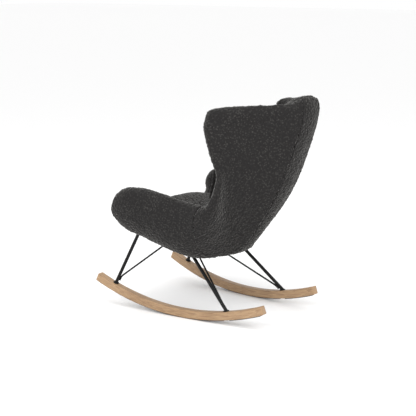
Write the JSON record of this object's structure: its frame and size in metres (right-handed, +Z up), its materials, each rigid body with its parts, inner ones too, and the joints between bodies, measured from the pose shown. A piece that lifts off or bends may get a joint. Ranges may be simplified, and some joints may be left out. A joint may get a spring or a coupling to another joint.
{
  "type": "rocking chair",
  "caption": "Upholstered wing-back rocking chair: bucket shell with padded arms and wings on splayed metal legs and curved wooden runners.",
  "frame": {"origin": "on the floor under the middle of the chair's bounding box", "axes": "+Z up, the chair faces -Y, its left side is +X"},
  "size_m": [0.74, 0.9694, 0.9906],
  "materials": {
    "runner_wood": "clear matt lacquer over pale ash, fine lengthwise grain",
    "grip_rubber": "dull dark rubber strip",
    "leg_metal": "satin black powder coat",
    "zinc": "zinc plated",
    "boucle": "charcoal boucle with curly loops",
    "plywood": "bare moulded plywood",
    "lining": "thin black non-woven cloth"
  },
  "bodies": {
    "root": {"back_cushion": "boucle", "back_panel": "boucle", "back_shell": "plywood", "centre_cross_bar": "leg_metal", "dust_cover": "lining", "front_cross_bar": "leg_metal", "left_arm_pad": "boucle", "left_arm_panel": "boucle", "left_front_brace": "leg_metal", "left_front_foot_bolt": "zinc", "left_front_foot_plate": "leg_metal", "left_front_frame_bolt": "zinc", "left_front_leg": "leg_metal", "left_front_tee_nut": "zinc", "left_grip_strip_front": "grip_rubber", "left_grip_strip_middle": "grip_rubber", "left_grip_strip_rear": "grip_rubber", "left_rear_brace": "leg_metal", "left_rear_foot_bolt": "zinc", "left_rear_foot_plate": "leg_metal", "left_rear_frame_bolt": "zinc", "left_rear_leg": "leg_metal", "left_rear_tee_nut": "zinc", "left_runner": "runner_wood", "left_side_rail": "leg_metal", "left_side_shell": "plywood", "left_wing_pad": "boucle", "left_wing_panel": "boucle", "rear_cross_bar": "leg_metal", "right_arm_pad": "boucle", "right_arm_panel": "boucle", "right_front_brace": "leg_metal", "right_front_foot_bolt": "zinc", "right_front_foot_plate": "leg_metal", "right_front_frame_bolt": "zinc", "right_front_leg": "leg_metal", "right_front_tee_nut": "zinc", "right_grip_strip_front": "grip_rubber", "right_grip_strip_middle": "grip_rubber", "right_grip_strip_rear": "grip_rubber", "right_rear_brace": "leg_metal", "right_rear_foot_bolt": "zinc", "right_rear_foot_plate": "leg_metal", "right_rear_frame_bolt": "zinc", "right_rear_leg": "leg_metal", "right_rear_tee_nut": "zinc", "right_runner": "runner_wood", "right_side_rail": "leg_metal", "right_side_shell": "plywood", "right_wing_pad": "boucle", "right_wing_panel": "boucle", "seat_board": "plywood", "seat_cushion": "boucle"}
  },
  "joints": []
}
